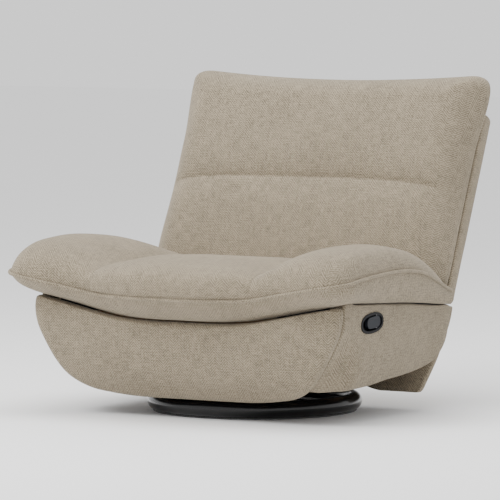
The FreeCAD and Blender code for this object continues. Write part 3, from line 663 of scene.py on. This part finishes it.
rings = [("sc", q, 1.0) for q in (0.06, 0.16, 0.28, 0.4, 0.52, 0.62, 0.70, 0.77)]
for i in range(11):
    a_ = math.pi / 2 * i / 10
    rings.append(("in", 22.0 * (1 - math.sin(a_)), 1.0 - (1 - math.cos(a_)) * 0.62))
for i in range(1, 6):
    a_ = math.pi / 2 * i / 5
    rings.append(("in", 12.0 * (1 - math.cos(a_)), 0.38 * (1 - math.sin(a_))))
rings += [("sc", q, 0.0) for q in (0.85, 0.6, 0.35, 0.12)]
foot = ring_pad("footrest_panel", fo, (0, 172), rings, foot_place)
dress(foot, "footrest", "upholstery", M_FAB, "footrest_pad", padded=0.45)

# ---------------------------------------------------------------- side panels
side_pts = [(-366, 350), (-300, 347.5), (-200, 342.5), (-100, 336.5), (0, 330), (100, 320.5), (200, 311), (266, 306), (279, 300), (275, 281), (266, 242),
            (255, 205), (236, 178), (207, 152), (160, 137), (104, 127), (30, 119), (-70, 112), (-137, 104), (-225, 100), (-298, 98),
            (-338, 98), (-356, 107), (-366, 130), (-370, 190), (-371, 250), (-371, 300), (-370, 342)]
so = hermite(side_pts, closed=True)(np.linspace(0, 1, 300, endpoint=False))
xout = table([90, 98, 106, 118, 138, 170, 215, 260, 300, 350], [446, 457, 465, 473, 481, 490, 497, 500, 501, 501])


footw = table([60, 77.5, 97, 121, 148, 184, 221, 260, 292, 360], [240, 339, 381, 410, 432, 455, 476, 495, 505, 512])


def side_place(sign):
    def f(y, z, d, inset):
        wide = 32.0 + 14.0 * smoothstep(z, 140, 190) + 52.0 * smoothstep(-y, 285, 325) * (1 - smoothstep(z, 150, 200))
        # the front lower corner turns in, in line with the front panel's tapering sides
        turn = np.maximum(xout(z) - (footw(z) - 3.0), 0) * (1 - smoothstep(y, -374, -262))
        wide = np.maximum(wide - 0.85 * turn, 18.0)
        x = xout(z) - turn - (1 - d) * wide
        if d > 0.99:
            x = x + 1.6 * noise3(np.stack([x, y, z], 1), 31, ((190.0, 1.0), (80.0, 0.4)))
        return np.stack([sign * x, y, z], 1)
    return f


rings = [("sc", q, 1.0) for q in (0.1, 0.22, 0.34, 0.46, 0.58, 0.7, 0.8, 0.88)]
for i in range(9):
    a_ = math.pi / 2 * i / 8
    rings.append(("in", 9.0 * (1 - math.sin(a_)), 1.0 - (1 - math.cos(a_)) * 0.22))
rings += [("in", 0.5, 0.2), ("in", 4.0, 0.0)]
rings += [("sc", q, 0.0) for q in (0.8, 0.5, 0.2)]
sides = {}
for nm, sg in (("left", 1), ("right", -1)):
    o = ring_pad("side_panel_" + nm, so, (-50, 235), rings, side_place(sg))
    sides[nm] = o
    dress(o, "seat_carriage", "upholstery", M_FAB, "side_pad_" + nm, padded=0.4)

# opening for the release handle, cut through the left side's cover
hy, hz, tl = -208.0, 289.0, math.radians(4.0)
cut_pts = []
for i in range(48):
    th = 2 * math.pi * i / 48
    c_, s_ = math.cos(th), math.sin(th)
    yy = 62.0 * math.copysign(abs(c_) ** (2 / 2.4), c_)
    zz = 26.5 * math.copysign(abs(s_) ** (2 / 2.4), s_)
    cut_pts.append((hy + yy * math.cos(tl) - zz * math.sin(tl), hz + yy * math.sin(tl) + zz * math.cos(tl)))
cv = [(470.0, y, z) for y, z in cut_pts] + [(530.0, y, z) for y, z in cut_pts]
cf_ = [tuple(range(48)), tuple(range(48, 96))] + [(i, (i + 1) % 48, 48 + (i + 1) % 48, 48 + i) for i in range(48)]
cutter = make("handle_cutter", cv, cf_, smooth=False)
bm_ = sides["left"].modifiers.new("pocket", "BOOLEAN")
bm_.operation = "DIFFERENCE"
bm_.solver = "EXACT"
bm_.object = cutter
bpy.context.view_layer.objects.active = sides["left"]
bpy.context.view_layer.update()
with bpy.context.temp_override(object=sides["left"], active_object=sides["left"], selected_objects=[sides["left"]]):
    bpy.ops.object.modifier_apply(modifier="pocket")
bpy.data.objects.remove(cutter)

# ------------------------------------------------------------ rear lower panel
rr_side = [(490, 297), (489.5, 292), (484, 262), (474, 225), (463, 190), (451, 150), (438, 110), (428, 78), (420, 54), (417, 50), (412, 48.5)]
rear_pts = [(x, 299.0) for x in np.linspace(-484, 484, 41)] + rr_side
rear_pts += [(x, 48.0 + 12.0 * float(smoothstep(290 - abs(x), 0, 70))) for x in np.linspace(395, -395, 31)]
rear_pts += [(-x, z) for x, z in rr_side[::-1]]
ro = hermite(rear_pts, closed=True)(np.linspace(0, 1, 420, endpoint=False))
yrear = table([40, 48, 80, 100, 130, 160, 195, 225, 260, 300], [252, 257, 273, 282, 293, 301, 308, 312, 315, 316])


def rear_place(x, z, d, inset):
    y = yrear(z) - (1 - d) * 26.0 - 5.0 * (np.abs(x) / 490) ** 4
    return np.stack([x, y, z], 1)


rings = [("sc", q, 1.0) for q in (0.06, 0.16, 0.28, 0.4, 0.52, 0.64, 0.75, 0.85, 0.92)]
for i in range(8):
    a_ = math.pi / 2 * i / 7
    rings.append(("in", 9.0 * (1 - math.sin(a_)), 1.0 - (1 - math.cos(a_)) * 0.35))
rings += [("in", 1.5, 0.15), ("in", 5.0, 0.0)]
rings += [("sc", q, 0.0) for q in (0.85, 0.6, 0.35, 0.12)]
rear = ring_pad("rear_panel", ro, (0, 185), rings, rear_place)
dress(rear, "seat_carriage", "upholstery", M_FAB, "rear_pad", padded=0.35)

# ------------------------------------------------------------------- backrest
SL, CL = math.sin(LEAN), math.cos(LEAN)


def bk(X, u, n):
    return np.stack([X + 0 * u, 304 + SL * u - CL * n, 306 + CL * u + SL * n], -1)


def rr_map(sx, ty, W, u0, u1, rad):
    """Square grid (-1..1) to a rounded rectangle, ring by ring."""
    rho = np.maximum(np.abs(sx), np.abs(ty))
    Hh = (u1 - u0) / 2
    x, y = sx * W, ty * Hh
    r = rad * rho
    qx, qy = np.abs(x) - (W * rho - r), np.abs(y) - (Hh * rho - r)
    both = (qx > 0) & (qy > 0)
    ln = np.sqrt(qx**2 + qy**2)
    k = np.where(both & (ln > 1e-9), r / np.maximum(ln, 1e-9), 1.0)
    x = np.where(both, np.sign(x) * (W * rho - r + qx * k), x)
    y = np.where(both, np.sign(y) * (Hh * rho - r + qy * k), y)
    return x, y + (u0 + u1) / 2


def inside_dist(x, y, W, u0, u1, rad):
    Hh, c = (u1 - u0) / 2, (u0 + u1) / 2
    qx, qy = np.abs(x) - (W - rad), np.abs(y - c) - (Hh - rad)
    sd = np.sqrt(np.maximum(qx, 0) ** 2 + np.maximum(qy, 0) ** 2) + np.minimum(np.maximum(qx, qy), 0) - rad
    return -sd


def seam_u(X):
    return 323.0 + 1.0 * (X / 430.0) - 19.0 * np.abs(X / 445.0) ** 4


n, m = 190, 200
ga = np.sin(math.pi / 2 * np.linspace(-1, 1, n))
gb = np.linspace(-1, 1, m)
gb = 0.5 * gb + 0.5 * np.sin(math.pi / 2 * gb)
A_, B_ = np.meshgrid(ga, gb, indexing="ij")
W, U0, U1, RC = 487.0, 24.0, 690.0, 46.0
X, U = rr_map(A_, B_, W, U0, U1, RC)
d = inside_dist(X, U, W, U0, U1, RC)
# the lower edge is tucked down behind the seat, so it rolls over a much smaller radius
d = np.minimum(inside_dist(X, U, W, U0 - 200, U1, RC), 2.5 * np.maximum(U - U0, 0))
ne = 62.0
nf = table([0, 24, 80, 160, 240, 300, 330, 400, 480, 560, 620, 690], [152, 156, 163, 167, 167, 163, 163, 167, 167, 165, 161, 150])
Rr = 98.0
E = np.clip(1 - (1 - np.clip(d / Rr, 0, 1)) ** 2, 0, 1) ** 0.70
X = X + np.sign(X) * 15.0 * smoothstep(np.abs(X), 330, 487) * smoothstep(U, 440, 650)
X = X + np.sign(X) * 6.0 * smoothstep(np.abs(X), 330, 487) * smoothstep(260 - U, 0, 160)
N = ne + (nf(U) - ne) * E + 4.0 * np.clip(1 - (X / 486.0) ** 2, 0, 1) * np.clip(E, 0, 1)
us = seam_u(X)
fd = smoothstep(470 - np.abs(X), 0, 60)
du = np.abs(U - us)
N = N - fd * (9.0 * np.exp(-(du / 34.0) ** 1.3) + 6.5 * np.exp(-du / 7.0))
pk = np.sin(2 * math.pi * X / 23.0 + 1.7 * np.sin(X / 61.0)) * 0.55 + np.sin(2 * math.pi * X / 37.0 + 2.0) * 0.6
N = N + fd * 0.9 * pk * np.exp(-(du / 26.0)) * smoothstep(du, 2, 10)
Pm = np.stack([X, U, 0 * X], -1).reshape(-1, 3)
N = N + 2.4 * noise3(Pm, 41, ((260.0, 1.0), (120.0, 0.4))).reshape(n, m) * E
dip = 21.0 * np.clip(1 - (X / 440.0) ** 2, 0, 1) * smoothstep(U, 430, 685)
Ut = U - dip
Tp = bk(X, Ut, N)
X2, U2 = rr_map(A_, B_, W - 2, U0 + 4, U1 - 50, 18.0)
X2 = X2 + np.sign(X2) * 12.0 * smoothstep(np.abs(X2), 330, 487) * smoothstep(U2, 440, 630)
dip2 = 16.0 * np.clip(1 - (X2 / 440.0) ** 2, 0, 1) * smoothstep(U2, 420, 640)
Bp = bk(X2, U2 - dip2, 45.5 + 0 * X2)
ids = loop_ids(n, m)
loopX = np.array([X[i, j] for i, j in ids])
loopU = np.array([U[i, j] for i, j in ids])
ox = np.where(np.abs(loopX) > 440, np.sign(loopX) * smoothstep(np.abs(loopX), 430, 486), 0)
ou = np.where(loopU > 612, smoothstep(loopU, 612, 685), 0)


def pbulge(r, p):
    k = math.sin(math.pi * r) ** 0.8
    # out from the middle of the pillow, in the back's own plane
    return bk(ox * 2.0 * k, ou * 9.0 * k, 0 * ox) - bk(0 * ox, 0 * ox, 0 * ox)


pillow = slab_mesh("back_cushion", Tp, Bp, rows=12, bulge=pbulge)
dress(pillow, "backrest", "upholstery", M_BACK, "back_pillow", padded=0.7)

# rear shell cover
n, m = 70, 60
ga = np.sin(math.pi / 2 * np.linspace(-1, 1, n))
A_, B_ = np.meshgrid(ga, np.sin(math.pi / 2 * np.linspace(-1, 1, m)), indexing="ij")
X, U = rr_map(A_, B_, 493.0, -1.0, 585.0, 14.0)
Xi, Ui = rr_map(A_, B_, 487.0, 5.0, 579.0, 10.0)
outn = -5.0 - 4.0 * np.clip(1 - (X / 486.0) ** 2, 0, 1) * np.clip(1 - ((U - 290) / 292.0) ** 2, 0, 1)
outn = outn + 1.6 * noise3(np.stack([X, U, 0 * X], -1).reshape(-1, 3), 51, ((260.0, 1.0), (110.0, 0.4))).reshape(n, m)
Tp = bk(Xi, Ui, outn)
Bp = bk(Xi, Ui, 43.0 + 0 * X)
ids = loop_ids(n, m)
lx = np.array([X[i, j] - Xi[i, j] for i, j in ids])
lu = np.array([U[i, j] - Ui[i, j] for i, j in ids])


def sbulge(r, p):
    k = min(1.0, math.sin(math.pi * r) ** 0.45)
    return bk(lx * k, lu * k, 0 * lx) - bk(0 * lx, 0 * lx, 0 * lx)


shell = slab_mesh("back_shell_cover", Tp, Bp, rows=14, bulge=sbulge)
dress(shell, "backrest", "upholstery", M_BACK, "back_outer_panel", padded=0.3)

# ---------------------------------------------------------------------- handle
for nn, w in (("handle_housing", 0.0012), ("release_lever", 0.0018)):
    o = frame["nodes"][nn]
    bv = o.modifiers.new("soft_edges", "BEVEL")
    bv.width = w
    bv.segments = 3
    bv.limit_method = "ANGLE"
    bv.angle_limit = math.radians(40)

# ------------------------------------------------------------------ stage, view
bpy.ops.mesh.primitive_plane_add(size=40, location=(0, 0, -0.0005))
floor = bpy.context.object
floor.name = "studio_floor"
fm = bpy.data.materials.new("floor_pale")
fm.use_nodes = True
fb = fm.node_tree.nodes["Principled BSDF"]
fb.inputs["Base Color"].default_value = (0.955, 0.955, 0.955, 1)
fb.inputs["Roughness"].default_value = 0.9
floor.data.materials.append(fm)


def area(name, loc, target, size, power, color=(1, 1, 1)):
    l = bpy.data.lights.new(name, "AREA")
    l.shape = "RECTANGLE"
    l.size, l.size_y = size
    l.energy = power
    l.color = color
    o = bpy.data.objects.new(name, l)
    o.location = loc
    o.rotation_euler = (Vector(target) - Vector(loc)).to_track_quat("-Z", "Y").to_euler()
    bpy.context.scene.collection.objects.link(o)
    return o


area("key", (-1.6, -3.6, 3.6), (0, 0, 0.45), (2.6, 2.2), 165)
area("top", (0.2, -0.4, 4.2), (0, 0, 0.4), (3.4, 3.0), 150)
area("fill", (3.8, -2.4, 1.9), (0, 0, 0.4), (2.2, 2.2), 8)
area("rim", (2.4, 3.6, 2.6), (0, 0, 0.5), (2.4, 1.6), 6)
world = bpy.data.worlds.new("studio")
bpy.context.scene.world = world
world.use_nodes = True
world.node_tree.nodes["Background"].inputs[0].default_value = (1, 1, 1, 1)
world.node_tree.nodes["Background"].inputs[1].default_value = 1.15

cam_d = bpy.data.cameras.new("camera")
cam = bpy.data.objects.new("camera", cam_d)
bpy.context.scene.collection.objects.link(cam)
cam_d.sensor_width = 36.0
cam_d.lens = 360.0
cam_d.clip_start = 0.5
cam_d.clip_end = 80.0
cam.location = (7.241046, -12.569849, 1.509213)
cam.rotation_euler = (math.radians(85.882), 0, math.radians(30.0))
bpy.context.scene.camera = cam
